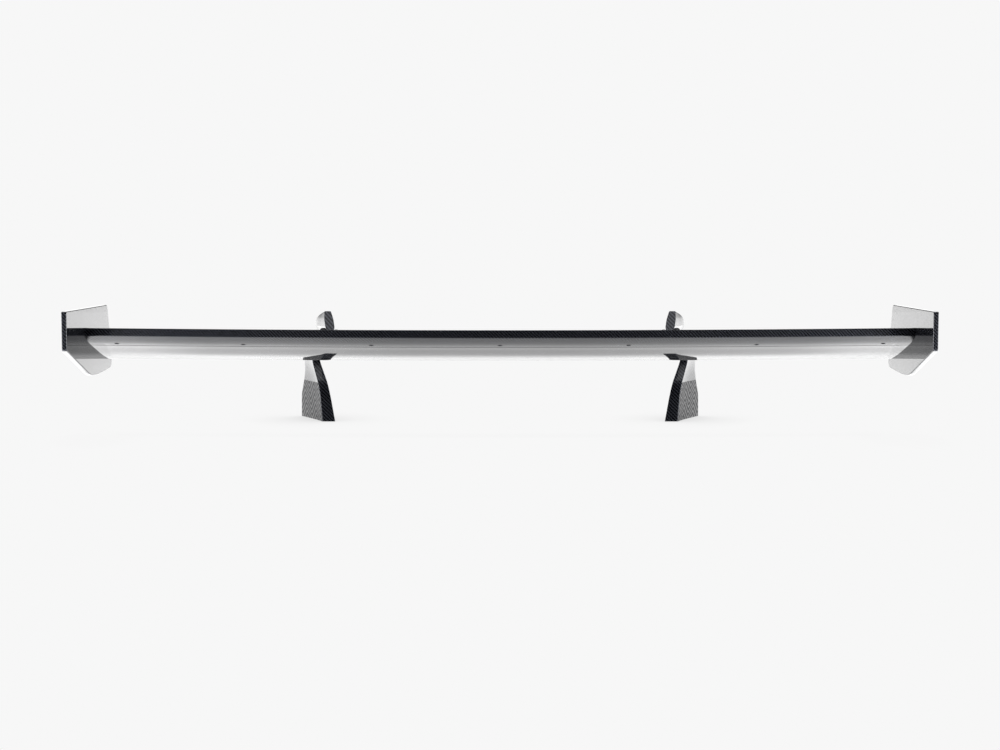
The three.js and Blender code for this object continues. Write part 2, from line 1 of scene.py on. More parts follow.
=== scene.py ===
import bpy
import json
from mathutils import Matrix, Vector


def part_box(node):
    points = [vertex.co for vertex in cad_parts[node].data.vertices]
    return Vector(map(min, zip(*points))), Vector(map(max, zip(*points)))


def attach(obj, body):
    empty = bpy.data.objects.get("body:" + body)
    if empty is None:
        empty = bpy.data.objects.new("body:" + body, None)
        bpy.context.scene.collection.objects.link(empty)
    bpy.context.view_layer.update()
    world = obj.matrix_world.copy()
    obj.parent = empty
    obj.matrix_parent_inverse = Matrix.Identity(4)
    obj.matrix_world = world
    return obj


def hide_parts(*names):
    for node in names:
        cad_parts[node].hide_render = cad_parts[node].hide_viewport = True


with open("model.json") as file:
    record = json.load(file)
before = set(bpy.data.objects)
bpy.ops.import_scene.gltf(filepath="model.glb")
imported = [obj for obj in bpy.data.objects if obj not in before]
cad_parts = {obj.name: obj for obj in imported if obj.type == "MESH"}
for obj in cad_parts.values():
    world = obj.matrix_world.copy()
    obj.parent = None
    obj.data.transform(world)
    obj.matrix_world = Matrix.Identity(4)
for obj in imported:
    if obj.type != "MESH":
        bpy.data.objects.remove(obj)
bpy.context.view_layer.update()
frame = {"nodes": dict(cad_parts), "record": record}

import json
import math

import bmesh
import bpy
from mathutils import Matrix, Vector

MM = 0.001

# Driving dimensions in millimetres, as the frame was built
HALF_SPAN = 815.0
ENDPLATE_THICKNESS = 10.0
ENDPLATE_ROUND = 1.6
GAP = 0.3
HALF_PLANE = HALF_SPAN - ENDPLATE_THICKNESS - GAP
TE_Y = -97.5
TE_Z = 165.4
TIP_SWEEP = 34.0
TIP_RISE = 3.0
CHORD = 232.0
TIP_CHORD_LOSS = 16.5
SKIN = 2.6
LIP_HEIGHT = 15.3
LIP_THICKNESS = 5.0
LIP_ROUND = 1.4
LIP_HEEL = 8.2
STRIP_DEPTH = 52.0
STRIP_THICKNESS = 3.0
SEAM = 2.6
SCREW_INSET = 37.0
SCREW_PITCH = 250.0
SCREW_COUNT = 7
TAIL_FROM = 13.0
TAIL_INNER_FROM = 16.0
TAIL_SKIN = 1.8
FOOT_Z = -45.0
FOOT_REAR = 392.0
FOOT_FRONT = 520.0
FOOT_THICKNESS = 29.0
FOOT_PLATE_HALF_WIDTH = 8.5
CREASE_Z = 41.0
HEAD_LEAN = -0.03
LEG_LEAN = 0.135
LEG_PLUMB_Z = 110.0
NECK_REAR = 130.0
NECK_FRONT = 380.0
PIVOT = (84.0, 162.0)
CLAMP = (36.0, 168.0)
PIVOT_BOSS = 9.5
CLAMP_BOSS = 6.0
HEAD_BOSS = 24.0
PIVOT_SHANK = 4.0
CLAMP_SHANK = 3.0
BUSH_RADIUS = 6.0
LUG_OUTER = 17.0
THROUGH = 60.0
DRAWN_AT = Vector((0, -160, -FOOT_Z))

SPAN_STATIONS = 96
# Section curves: distance ahead of the trailing edge, then height
LOWER = [(0, 0), (33, -15), (85, -28.7), (140, -42.7), (190, -53.2), (216, -57.2), (229, -53.5), (232, -46)]
UPPER = [(232, -46), (225, -36.5), (190, -25), (140, -13), (85, -4.5), (40, -0.5), (LIP_THICKNESS, 1.5)]
ENDPLATE_HOLES = [68, 128, 196]
# Countersunk screws: head radius, head depth and shank radius, and how far all their heads are sunk
STRIP_SCREW = (4.4, 2, 2)
ENDPLATE_SCREW = (6, 3.2, 3)
SCREW_SUNK = 0.45
# Middle line of the right upright in plan: Y, then X
UPRIGHT_PLAN = [(-20, 321.6), (20, 336), (60, 350.5), (110, 368), (180, 378), (280, 384.5), (360, 391),
                (392, 400.5), (440, 421), (530, 466.5)]
# Lines across the upright from the foot to the tip: Y and Z of the front end, then of the rear end
UPRIGHT_STATIONS = [
    (FOOT_FRONT, FOOT_Z, FOOT_REAR, FOOT_Z), (514, -20, 391, -15), (506, 8, 391, 12), (487, 38, 396, 40),
    (474, 66, 410, 64), (471, 90, 421, 86), (462, 117, 419, 98), (440, 136, 402, 112), (400, 148, 368, 122),
    (340, 156, 318, 129.5), (260, 162, 247, 136.5), (180, 166.5, 176, 143.5), (134, 168.8, 131, 150),
    (112, 170.8, 110, 153.8), (102, 175, 96, 155.5), (105, 183, 84, 157), (109, 191, 72, 159),
    (95, 198.5, 58, 161), (75, 206, 44, 163.5), (50, 212, 23, 170)]
# How the upright's thickness changes with height: from here, to here, then this thick
THICKNESS_STEPS = [(FOOT_Z, 40, 21.4), (40, 90, 17.3), (130, 165, 13), (173, 180, 18.5), (196, 212, 12.8)]

# Widths of the tows, and how many of them run before the herringbone turns
CARBON_TOW = 1.6
LEG_TOW = 2.0
BOOT_TOW = 3.0
HERRINGBONE_TOWS = 9.0

FLOOR_SIZE = 14000.0
FLOOR_DROP = 0.4
CAMERA_AT = Vector((0, -3324, 334.4))
CAMERA_DIP = 4.25
CAMERA_LENS = 60.6
# How pale the camera itself sees the floor and the backdrop
SEEN_LEVEL = 0.93


# ---------------------------------------------------------------- curves

def spline(points, per_span=12):
    """A Catmull-Rom curve through the points."""
    curve = []
    last = len(points) - 1
    for i in range(last):
        p0, p1 = points[max(i - 1, 0)], points[i]
        p2, p3 = points[i + 1], points[min(i + 2, last)]
        for k in range(per_span):
            t = k / per_span
            curve.append(tuple(catmull(t, *axis) for axis in zip(p0, p1, p2, p3)))
    curve.append(tuple(float(v) for v in points[-1]))
    return curve


def catmull(t, p0, p1, p2, p3):
    """One coordinate of the curve between p1 and p2."""
    v0, v1 = (p2 - p0) / 2, (p3 - p1) / 2
    return (2 * p1 - 2 * p2 + v0 + v1) * t ** 3 + (-3 * p1 + 3 * p2 - 2 * v0 - v1) * t ** 2 + v0 * t + p1


def arc(start, corner, end, steps=6):
    """A quadratic curve from start to end, pulled to the corner; start is left out."""
    points = []
    for k in range(1, steps + 1):
        t = k / steps
        points.append(tuple((1 - t) ** 2 * a + 2 * t * (1 - t) * b + t * t * c
                            for a, b, c in zip(start, corner, end)))
    return points


def between(curve, low, high):
    """The part of a section curve between two distances, with its end points found exactly."""
    kept = [p for p in curve if low + 0.4 < p[0] < high - 0.4]
    ends = [(d, height_at(curve, d)) for d in (low, high)]
    if curve[0][0] > curve[-1][0]:
        ends.reverse()
    return [ends[0], *kept, ends[1]]


def height_at(curve, distance):
    """The curve's second coordinate where its first equals a distance."""
    for a, b in zip(curve, curve[1:]):
        if (a[0] - distance) * (b[0] - distance) <= 0 and a[0] != b[0]:
            return a[1] + (b[1] - a[1]) * (distance - a[0]) / (b[0] - a[0])
    return curve[-1][1]


def shifted(curve, left):
    """The open curve moved to its left by a distance, square to itself."""
    moved = []
    for i, p in enumerate(curve):
        a, b = curve[max(i - 1, 0)], curve[min(i + 1, len(curve) - 1)]
        d = Vector((b[0] - a[0], b[1] - a[1])).normalized()
        moved.append((p[0] - d.y * left, p[1] + d.x * left))
    return moved


def inset(loop, distance):
    """A closed counter-clockwise loop drawn in by a distance."""
    moved = []
    count = len(loop)
    for i, p in enumerate(loop):
        a, b = Vector(loop[i - 1]), Vector(loop[(i + 1) % count])
        d1, d2 = (Vector(p) - a).normalized(), (b - Vector(p)).normalized()
        bisector = (Vector((-d1.y, d1.x)) + Vector((-d2.y, d2.x))).normalized()
        stretch = max(bisector.dot(Vector((-d1.y, d1.x))), 0.4)
        moved.append((p[0] + bisector.x * distance / stretch, p[1] + bisector.y * distance / stretch))
    return moved


LOWER_CURVE = spline(LOWER)
UPPER_CURVE = spline(UPPER)


# ---------------------------------------------------------------- meshes

def shade(mesh, sharp):
    """Smooth faces, with every edge beyond an angle in degrees kept sharp."""
    for face in mesh.polygons:
        face.use_smooth = True
    mesh.set_sharp_from_angle(angle=math.radians(sharp))


def finish_mesh(name, bm, materials=(), sharp=32):
    """Turns a bmesh in millimetres into an object in metres with smooth faces and sharp corners."""
    bmesh.ops.recalc_face_normals(bm, faces=bm.faces)
    bmesh.ops.translate(bm, vec=DRAWN_AT, verts=bm.verts)
    bmesh.ops.scale(bm, vec=Vector((MM, MM, MM)), verts=bm.verts)
    mesh = bpy.data.meshes.new(name)
    bm.to_mesh(mesh)
    bm.free()
    shade(mesh, sharp)
    obj = bpy.data.objects.new(name, mesh)
    bpy.context.scene.collection.objects.link(obj)
    for material in materials:
        mesh.materials.append(material)
    return obj


def loft(bm, rings):
    """Joins closed rings of points into a closed skin with capped ends."""
    rows = [[bm.verts.new(p) for p in ring] for ring in rings]
    count = len(rows[0])
    for low, high in zip(rows, rows[1:]):
        for i in range(count):
            j = (i + 1) % count
            bm.faces.new((low[i], low[j], high[j], high[i]))
    bm.faces.new(list(reversed(rows[0])))
    bm.faces.new(rows[-1])


def lay_cloth(obj, spanwise_only=False):
    """Writes the weave's UV in millimetres: Y and Z on faces that look sideways, else X with Y or Z.

    On a piece that is spanwise only, no face counts as sideways.
    """
    mesh = obj.data
    layer = mesh.uv_layers.new(name="weave")
    for face in mesh.polygons:
        n = face.normal
        sideways = abs(n.x) >= 0.5 and not spanwise_only
        for index in face.loop_indices:
            p = mesh.vertices[mesh.loops[index].vertex_index].co / MM
            along = p.y if abs(n.z) > abs(n.y) else p.z
            layer.data[index].uv = (p.y, p.z) if sideways else (p.x, along)


def circle(matrix, radius, height, count):
    """Points evenly round the matrix's Z axis, or the one point on it when the radius is nothing."""
    if radius == 0:
        return [matrix @ Vector((0, 0, height))]
    turns = [2 * math.pi * k / count for k in range(count)]
    return [matrix @ Vector((radius * math.cos(turn), radius * math.sin(turn), height)) for turn in turns]


def turned(bm, profile, matrix, segments=40):
    """A turned solid: profile is pairs of radius and height, starting and ending on the axis."""
    rings = []
    for radius, height in profile:
        rings.append([bm.verts.new(point) for point in circle(matrix, radius, height, segments)])
    for low, high in zip(rings, rings[1:]):
        for k in range(segments):
            j = (k + 1) % segments
            face = [low[k % len(low)], low[j % len(low)], high[j % len(high)], high[k % len(high)]]
            bm.faces.new(list(dict.fromkeys(face)))


def combined(obj, others, operation, sharp=32):
    """The object after an exact boolean with each of the others, which are then removed."""
    for other in others:
        step = obj.modifiers.new("cut", "BOOLEAN")
        step.operation = operation
        step.solver = "EXACT"
        step.object = other
    graph = bpy.context.evaluated_depsgraph_get()
    mesh = bpy.data.meshes.new_from_object(obj.evaluated_get(graph))
    obj.modifiers.clear()
    obj.data = mesh
    shade(mesh, sharp)
    for other in others:
        bpy.data.objects.remove(other)
    return obj


def mirrored(obj, name):
    """A copy of the piece on the other side of the car's centre plane."""
    copy = bpy.data.objects.new(name, obj.data.copy())
    bpy.context.scene.collection.objects.link(copy)
    copy.data.transform(Matrix.Scale(-1, 4, (1, 0, 0)))
    copy.data.flip_normals()
    return copy


def settle(obj, body, node):
    """Fixes a finished piece to its body, in place of the node it redraws."""
    flatten = obj.modifiers.new("flat_faces", "WEIGHTED_NORMAL")
    flatten.keep_sharp = True
    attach(obj, body)
    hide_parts(node)


# ---------------------------------------------------------------- materials

class Graph:
    """Builds the shader nodes of a material or of the world."""

    def __init__(self, owner):
        owner.use_nodes = True
        self.owner = owner
        self.tree = owner.node_tree
        self.tree.nodes.clear()

    def node(self, kind, inputs=None, **settings):
        made = self.tree.nodes.new("ShaderNode" + kind)
        for key, value in settings.items():
            setattr(made, key, value)
        for key, value in (inputs or {}).items():
            self.plug(made.inputs[key], value)
        return made

    def plug(self, socket, value):
        if isinstance(value, bpy.types.NodeSocket):
            self.tree.links.new(value, socket)
        else:
            socket.default_value = value

    def math(self, operation, *values):
        return self.node("Math", dict(enumerate(values)), operation=operation).outputs[0]

    def plus(self, first, *others):
        for other in others:
            first = self.math("ADD", first, other)
        return first

    def times(self, first, *others):
        for other in others:
            first = self.math("MULTIPLY", first, other)
        return first

    def mix(self, factor, a, b):
        """A colour between two."""
        return self.node("Mix", {0: factor, 6: a, 7: b}, data_type="RGBA").outputs[2]

    def choose(self, factor, a, b):
        """A number between two."""
        return self.node("Mix", {0: factor, 2: a, 3: b}).outputs[0]

    def blend(self, factor, a, b):
        """A shader between two."""
        return self.node("MixShader", {0: factor, 1: a, 2: b}).outputs[0]

    def slope(self, value, low, high, start, end, kind="LINEAR"):
        """An even change from start to end as the value goes from low to high."""
        return self.node("MapRange", {"Value": value, 1: low, 2: high, 3: start, 4: end},
                         interpolation_type=kind).outputs[0]

    def step(self, value, low, high, start, end):
        """The same change, eased in and out."""
        return self.slope(value, low, high, start, end, "SMOOTHSTEP")

    def axes(self, vector):
        """The X, Y and Z of a vector."""
        return self.node("SeparateXYZ", {0: vector}).outputs

    def noise(self, scale, detail, vector):
        return self.node("TexNoise", {"Scale": scale, "Detail": detail, "Vector": vector}).outputs["Fac"]

    def end(self, shader, output="OutputMaterial"):
        self.node(output, {"Surface": shader})
        return self.owner


def material_graph(name):
    return Graph(bpy.data.materials.new(name))


def hump(g, share, power):
    """1 at the middle of a 0-1 share and 0 at both ends; a higher power is flatter on top."""
    centred = g.math("ABSOLUTE", g.math("SUBTRACT", g.times(share, 2.0), 1.0))
    return g.math("SUBTRACT", 1.0, g.math("POWER", centred, power))


def float_place(g, across, order):
    """0 to 2 along a tow, which repeats every four crossings: it floats on top for half of that."""
    return g.math("DIVIDE", g.math("FLOORED_MODULO", g.plus(across, order), 4.0), 2.0)


def tow_height(g, across, along):
    """The crown of a tow across its width and along the length that lies on top."""
    return g.plus(g.times(hump(g, across, 2.0), 0.5), g.times(hump(g, along, 3.0), 0.5))


def twill(g, tow, fold=0):
    """2x2 twill: which tow is on top, 1 for the warp, then the cloth's height and its U and V in tows.

    A fold turns the slant of the twill back every so many tows, which makes a herringbone.
    """
    uv = g.axes(g.node("UVMap", uv_map="weave").outputs[0])
    u = g.math("DIVIDE", uv[0], tow)
    v = g.math("DIVIDE", uv[1], tow)
    if fold:
        u = g.math("PINGPONG", u, fold)
    column, row = g.math("FLOOR", u), g.math("FLOOR", v)
    warp = g.math("LESS_THAN", g.math("FLOORED_MODULO", g.plus(column, row), 4.0), 1.5)
    warp_height = tow_height(g, g.math("FRACT", u), float_place(g, v, column))
    weft_height = tow_height(g, g.math("FRACT", v), g.math("SUBTRACT", float_place(g, u, row), 1.0))
    height = g.choose(warp, weft_height, warp_height)
    return warp, g.math("MAXIMUM", height, 0.0), u, v


def lacquered_cloth(g, tow):
    """Twill carbon under a polished clear coat, faintly blue in the highlights; its warp tows are painted
    paler than its weft, a painted highlight.
    """
    warp, height, u, v = twill(g, tow)
    streak_at = g.node("CombineXYZ", {0: g.times(u, 5.0), 1: g.times(v, 0.4)})
    streak = g.noise(1.0, 3.0, streak_at.outputs[0])
    # Painted highlight and shade: the warp tows are painted far paler than the weft, standing for how the
    # two tow directions catch the light
    warp_highlight_colour = g.mix(streak, (0.056, 0.060, 0.074, 1), (0.122, 0.130, 0.158, 1))
    weft_shade_colour = g.mix(streak, (0.003, 0.003, 0.005, 1), (0.012, 0.013, 0.018, 1))
    colour = g.mix(warp, weft_shade_colour, warp_highlight_colour)
    colour = g.mix(g.math("POWER", height, 0.6), (0.002, 0.002, 0.003, 1), colour)
    bump = g.node("Bump", {"Strength": 0.55, "Distance": 0.0002, "Height": height})
    place = g.node("TexCoord").outputs["Object"]
    coat = g.node("Bump", {"Strength": 0.02, "Distance": 0.002, "Height": g.noise(38.0, 1.0, place)})
    tangent = g.node("Tangent", direction_type="UV_MAP", uv_map="weave")
    coat_roughness = g.slope(g.noise(7.0, 4.0, place), 0.0, 1.0, 0.010, 0.035)
    return g.node("BsdfPrincipled", {
        "Base Color": colour, "Metallic": 0.9, "Roughness": 0.36, "Specular Tint": (0.04, 0.04, 0.05, 1),
        "Anisotropic": 0.7, "Anisotropic Rotation": g.times(warp, 0.25),
        "Tangent": tangent.outputs[0], "Normal": bump.outputs[0], "Coat Weight": 1.0, "Coat IOR": 1.5,
        "Coat Roughness": coat_roughness, "Coat Normal": coat.outputs[0]}).outputs[0]


def satin_herringbone(g, tow):
    """Herringbone carbon under a thin satin coat, painted paler when seen along the surface: a painted
    sheen.
    """
    warp, height = twill(g, tow, HERRINGBONE_TOWS)[:2]
    # Painted sheen: the colour turns paler towards grazing views, and the warp tows are painted paler than
    # the weft
    slant = g.step(g.node("LayerWeight", {"Blend": 0.5}).outputs["Facing"], 0.30, 0.62, 0.0, 1.0)
    warp_highlight_colour = g.mix(slant, (0.050, 0.052, 0.058, 1), (0.21, 0.21, 0.214, 1))
    weft_shade_colour = g.mix(slant, (0.012, 0.012, 0.015, 1), (0.030, 0.030, 0.032, 1))
    colour = g.mix(warp, weft_shade_colour, warp_highlight_colour)
    colour = g.mix(height, (0.008, 0.008, 0.009, 1), colour)
    bump = g.node("Bump", {"Strength": 0.5, "Distance": 0.0003, "Height": height})
    return g.node("BsdfPrincipled", {"Base Color": colour, "Roughness": 0.5, "Specular IOR Level": 0.1,
                                     "Normal": bump.outputs[0]}).outputs[0]


def gloss_carbon(name):
    """Lacquered twill of the plane and its strip."""
    g = material_graph(name)
    return g.end(lacquered_cloth(g, CARBON_TOW))


def in_mirrors(g, shader, other, share):
    """Ends the graph, blending in a share of another shader where the surface is seen in a reflection: a
    painted look in reflections.
    """
    reflected = g.times(g.node("LightPath").outputs["Is Glossy Ray"], share)
    return g.end(g.blend(reflected, shader, other))


def endplate_carbon(name):
    """Lacquered twill that other pieces mirror mostly as a painted glow: pale ahead of the lip and dark
    behind it, a painted reflection.
    """
    g = material_graph(name)
    ahead = g.axes(g.node("TexCoord").outputs["Object"])[1]
    # Painted reflection: in glossy rays the plate gives way to an emission that glows pale ahead of the lip
    # and stays dark behind it
    pale = g.node("Emission", {"Strength": g.step(ahead, -0.215, -0.195, 0.0, 2.0)})
    return in_mirrors(g, lacquered_cloth(g, CARBON_TOW), pale.outputs[0], 0.85)


def upright_carbon(name):
    """Lacquered twill, and satin herringbone on the boot's cheeks below the crease; painted darker in
    reflections by a share of black.
    """
    g = material_graph(name)
    up = g.axes(g.node("TexCoord").outputs["Object"])[2]
    sideways = g.math("ABSOLUTE", g.axes(g.node("NewGeometry").outputs["True Normal"])[0])
    low = g.math("LESS_THAN", up, (CREASE_Z - FOOT_Z) * MM)
    cheek = g.math("GREATER_THAN", sideways, 0.6)
    shader = g.blend(g.times(low, cheek), lacquered_cloth(g, LEG_TOW), satin_herringbone(g, BOOT_TOW))
    # Painted shade: other pieces mirror the upright partly as a black surface, darker than it would look
    painted_mirror_shade = g.node("BsdfDiffuse", {"Color": (0.0, 0.0, 0.0, 1)})
    return in_mirrors(g, shader, painted_mirror_shade.outputs[0], 0.4)


def bare_carbon(name):
    """Unlacquered moulding inside the wing: matt, with a coarse cloth print."""
    g = material_graph(name)
    at = g.node("TexCoord").outputs["Object"]
    weave = g.node("TexWave", {"Vector": at, "Scale": 120.0, "Distortion": 0.4}, bands_direction="DIAGONAL")
    colour = g.mix(weave.outputs["Fac"], (0.012, 0.012, 0.013, 1), (0.035, 0.035, 0.037, 1))
    bump = g.node("Bump", {"Strength": 0.3, "Distance": 0.0002, "Height": weave.outputs["Fac"]})
    return g.end(g.node("BsdfPrincipled", {"Base Color": colour, "Roughness": 0.55,
                                           "Normal": bump.outputs[0]}).outputs[0])


def metal(name, dark, light, roughness, metallic=1.0, edge=1.0):
    """Machined or plated metal with fine tool marks and a little colour variation.

    The edge is how pale the metal turns when it is seen along its surface.
    """
    g = material_graph(name)
    at = g.node("TexCoord").outputs["Object"]
    stretch = g.node("Mapping", {"Vector": at, "Scale": (40.0, 900.0, 900.0)}).outputs[0]
    marks = g.noise(1.0, 3.0, stretch)
    colour = g.mix(g.noise(60.0, 2.0, at), dark, light)
    rough = g.slope(marks, 0.0, 1.0, roughness * 0.75, roughness * 1.3)
    bump = g.node("Bump", {"Strength": 0.12, "Distance": 0.0001, "Height": marks})
    return g.end(g.node("BsdfPrincipled", {"Base Color": colour, "Metallic": metallic, "Roughness": rough,
                                           "Specular Tint": (edge, edge, edge, 1),
                                           "Normal": bump.outputs[0]}).outputs[0])


CARBON = gloss_carbon("gloss_carbon")
ENDPLATE_CARBON = endplate_carbon("endplate_carbon")
UPRIGHT_CARBON = upright_carbon("upright_carbon")
BARE = bare_carbon("inner_carbon")
BLACK_ALLOY = metal("black_alloy", (0.010, 0.010, 0.011, 1), (0.024, 0.024, 0.026, 1), 0.38, 0.8)
ALLOY = metal("alloy", (0.55, 0.56, 0.58, 1), (0.70, 0.71, 0.73, 1), 0.32)
STEEL = metal("steel", (0.42, 0.43, 0.45, 1), (0.58, 0.58, 0.60, 1), 0.24)
BLACK_STEEL = metal("black_steel", (0.004, 0.004, 0.005, 1), (0.012, 0.012, 0.013, 1), 0.5, 1.0, 0.04)
BRONZE = metal("bronze", (0.40, 0.25, 0.09, 1), (0.58, 0.38, 0.16, 1), 0.3)


# ---------------------------------------------------------------- main plane

def bowed(x, distance, height):
    """A point of the section at a station, carried onto the bowed and tapered plane."""
    share = (x / HALF_SPAN) ** 2
    scale = 1 - TIP_CHORD_LOSS / CHORD * share
    return Vector((x, TE_Y + TIP_SWEEP * share + distance * scale, TE_Z + TIP_RISE * share + height))


def spanwise(name, outline):
    """A carbon piece of one section, swept from tip to tip."""
    bm = bmesh.new()
    rings = []
    for k in range(SPAN_STATIONS + 1):
        x = HALF_PLANE * (2 * k / SPAN_STATIONS - 1)
        rings.append([bowed(x, s, z) for s, z in outline])
    loft(bm, rings)
    return finish_mesh(name, bm, [CARBON])


def lower_skin():
    """The lower shell, stepped up over the strip's flange; the walls of the seam between are bare."""
    rebate = STRIP_THICKNESS + GAP
    tail = shifted(between(LOWER_CURVE, TAIL_FROM, STRIP_DEPTH), rebate)
    belly = between(LOWER_CURVE, STRIP_DEPTH + SEAM, CHORD - 0.02)
    edge = [(belly[0][0] - 0.6, belly[0][1] + 1.1)]
    belly_in = shifted(between(LOWER_CURVE, STRIP_DEPTH + 6, CHORD - 0.02), SKIN)[::-1]
    tail_in = shifted(between(LOWER_CURVE, TAIL_INNER_FROM, STRIP_DEPTH - 2), rebate + TAIL_SKIN)[::-1]
    outline = [*tail, *edge, *belly, *belly_in, *tail_in]
    skin = spanwise("lower_skin", outline)
    skin.data.materials.append(BARE)
    seam_walls = (len(tail) - 1, len(tail))
    for face in skin.data.polygons[:SPAN_STATIONS * len(outline)]:
        if face.index % len(outline) in seam_walls:
            face.material_index = 1
    return skin


def upper_skin():
    """The upper shell, from the heel of the lip to the nose."""
    top = between(UPPER_CURVE, LIP_HEEL + GAP, CHORD - 0.05)
    top_in = shifted(between(UPPER_CURVE, TAIL_INNER_FROM, CHORD - 0.05), SKIN)[::-1]
    tail = [(LIP_HEEL + GAP, height_at(UPPER_CURVE, LIP_HEEL + GAP) - 1.5)]
    return spanwise("upper_skin", [*top, *tail, *top_in])


def lip_strip():
    """The trailing-edge strip: a flange under the plane and an upright lip with a rounded top."""
    under = between(LOWER_CURVE, 0, STRIP_DEPTH - 0.6)
    front = [(STRIP_DEPTH, height_at(LOWER_CURVE, STRIP_DEPTH) + 0.75)]
    over = shifted(between(LOWER_CURVE, LIP_HEEL - 1.2, STRIP_DEPTH), STRIP_THICKNESS)[::-1]
    root = height_at(UPPER_CURVE, LIP_THICKNESS + 0.1) + 0.2
    heel = [(LIP_HEEL, height_at(UPPER_CURVE, LIP_HEEL)), (LIP_THICKNESS + 0.6, root),
            (LIP_THICKNESS, root + 0.8)]
    top, bend = LIP_HEIGHT, LIP_HEIGHT - LIP_ROUND
    crown = [(LIP_THICKNESS, bend)]
    crown += arc((LIP_THICKNESS, bend), (LIP_THICKNESS, top), (LIP_THICKNESS - LIP_ROUND, top), 5)
    rear = [(LIP_ROUND, top), *arc((LIP_ROUND, top), (0, top), (0, bend), 5)]
    foot = [(0, 0.9), (0.25, 0.25)]
    return spanwise("lip_strip", [*under[1:], *front, *over, *heel, *crown, *rear, *foot])


def screw_place(x):
    """Where a strip screw sits, and the way its head points: down, square to the flange."""
    ahead = bowed(x, SCREW_INSET + 2, height_at(LOWER_CURVE, SCREW_INSET + 2))
    behind = bowed(x, SCREW_INSET - 2, height_at(LOWER_CURVE, SCREW_INSET - 2))
    along = (ahead - behind).normalized()
    return (ahead + behind) / 2, Vector((0, along.z, -along.y))


def aim(point, direction):
    """The matrix that puts +Z along a direction at a point."""
    turn = direction.normalized().to_track_quat("Z", "Y").to_matrix().to_4x4()
    return Matrix.Translation(point) @ turn


def countersink(point, direction, head, depth, shank, length):
    """Cuts a screw's clearance hole and the seat of its head."""
    bm = bmesh.new()
    profile = [(0, -length), (shank + GAP, -length), (shank + GAP, -depth - GAP), (head + GAP, 0),
               (head + GAP + 0.5, 0.4), (head + GAP + 0.5, 2), (0, 2)]
    turned(bm, profile, aim(point, direction))
    return finish_mesh("cutter", bm)


def hex_prism(bm, matrix, radius, low, high):
    """A hexagonal prism along the matrix's Z; the radius reaches its corners."""
    loft(bm, [circle(matrix, radius, height, 6) for height in (low, high)])


def socketed(name, profile, matrix, socket_radius, socket_low, socket_high, material):
    """A turned fastener with a hexagonal socket cut in its head."""
    bm = bmesh.new()
    turned(bm, profile, matrix)
    body = finish_mesh(name, bm, [material])
    cut = bmesh.new()
    hex_prism(cut, matrix, socket_radius, socket_low, socket_high)
    return combined(body, [finish_mesh("cutter", cut)], "DIFFERENCE", 30)


def sunk_screw(name, point, direction, head, depth, shank, length):
    """A countersunk screw, its head a little below the surface at the point."""
    matrix = aim(point + direction * -SCREW_SUNK, direction)
    profile = [(0, -length), (shank * 0.7, -length), (shank, -length + 0.7), (shank, -depth),
               (head - 0.15, -0.25), (head, -0.12), (head - 0.25, 0), (0, 0)]
    return socketed(name, profile, matrix, head * 0.5, -depth * 0.75, 1.0, BLACK_STEEL)


def build_plane():
    """The two shells, and the strip with its row of screws."""
    strip = lip_strip()
    screws = []
    cutters = []
    for k in range(SCREW_COUNT):
        point, face = screw_place((k - (SCREW_COUNT - 1) / 2) * SCREW_PITCH)
        cutters.append(countersink(point, face, *STRIP_SCREW, length=12))
        screws.append(sunk_screw(f"lip_screw_{k + 1}", point, face, *STRIP_SCREW, length=7.5))
    strip = combined(strip, cutters, "DIFFERENCE")
    for obj, node in ((strip, "trailing_edge_strip"), (lower_skin(), "wing_lower_skin"),
                      (upper_skin(), "wing_upper_skin")):
        lay_cloth(obj, spanwise_only=True)
        settle(obj, "main_plane", node)
    for k, screw in enumerate(screws):
        settle(screw, "main_plane", f"strip_screw_{k + 1}")


# ---------------------------------------------------------------- endplates

def endplate_outline():
    """The plate's outline in Y and Z: straight rear and top edges and a tapering lower edge."""
    points = [(-200, 150), (-200, 216)]
    points += arc((-200, 216), (-200, 220), (-196, 220))
    points += [(122, 222)] + arc((122, 222), (128, 222), (130, 216))
    points += [(142, 178), (159, 114)] + arc((159, 114), (163, 96), (146, 92), 10)
    points += arc((146, 92), (95, 88), (40, 86), 10) + arc((40, 86), (-10, 85), (-34, 93), 10)
    points += [(-197, 146)] + arc((-197, 146), (-200, 147), (-200, 150))[:-1]
    return points[::-1]


def rounded_slab(loop, x, thickness, radius, steps=4):
    """Rings of a plate square to X whose edges are rounded."""
    rings = []
    for side in (-1, 1):
        for k in range(steps + 1):
            angle = math.pi / 2 * (k / steps if side < 0 else 1 - k / steps)
            ring = inset(loop, radius * (1 - math.sin(angle)))
            at = x + side * (thickness / 2 - radius * (1 - math.cos(angle)))
            rings.append([Vector((at, y, z)) for y, z in ring])
    return rings


def build_endplates():
    """The plates with their countersunk screws, drawn on the right and mirrored."""
    bm = bmesh.new()
    middle_x = HALF_SPAN - ENDPLATE_THICKNESS / 2
    loft(bm, rounded_slab(endplate_outline(), middle_x, ENDPLATE_THICKNESS, ENDPLATE_ROUND))
    plate = finish_mesh("endplate_panel_right", bm, [ENDPLATE_CARBON])
    cutters = []
    screws = []
    outward = Vector((1, 0, 0))
    for k, distance in enumerate(ENDPLATE_HOLES):
        middle = (height_at(LOWER_CURVE, distance) + height_at(UPPER_CURVE, distance)) / 2
        point = bowed(HALF_PLANE, distance, middle)
        point.x = HALF_SPAN
        cutters.append(countersink(point, outward, *ENDPLATE_SCREW, length=30))
        name = f"endplate_bolt_{k + 1}_right"
        screws.append(sunk_screw(name, point, outward, *ENDPLATE_SCREW, length=17))
    plate = combined(plate, cutters, "DIFFERENCE")
    both_sides(plate, "main_plane", "endplate", cloth=True)
    for k, screw in enumerate(screws):
        both_sides(screw, "main_plane", f"endplate_screw_{k + 1}")


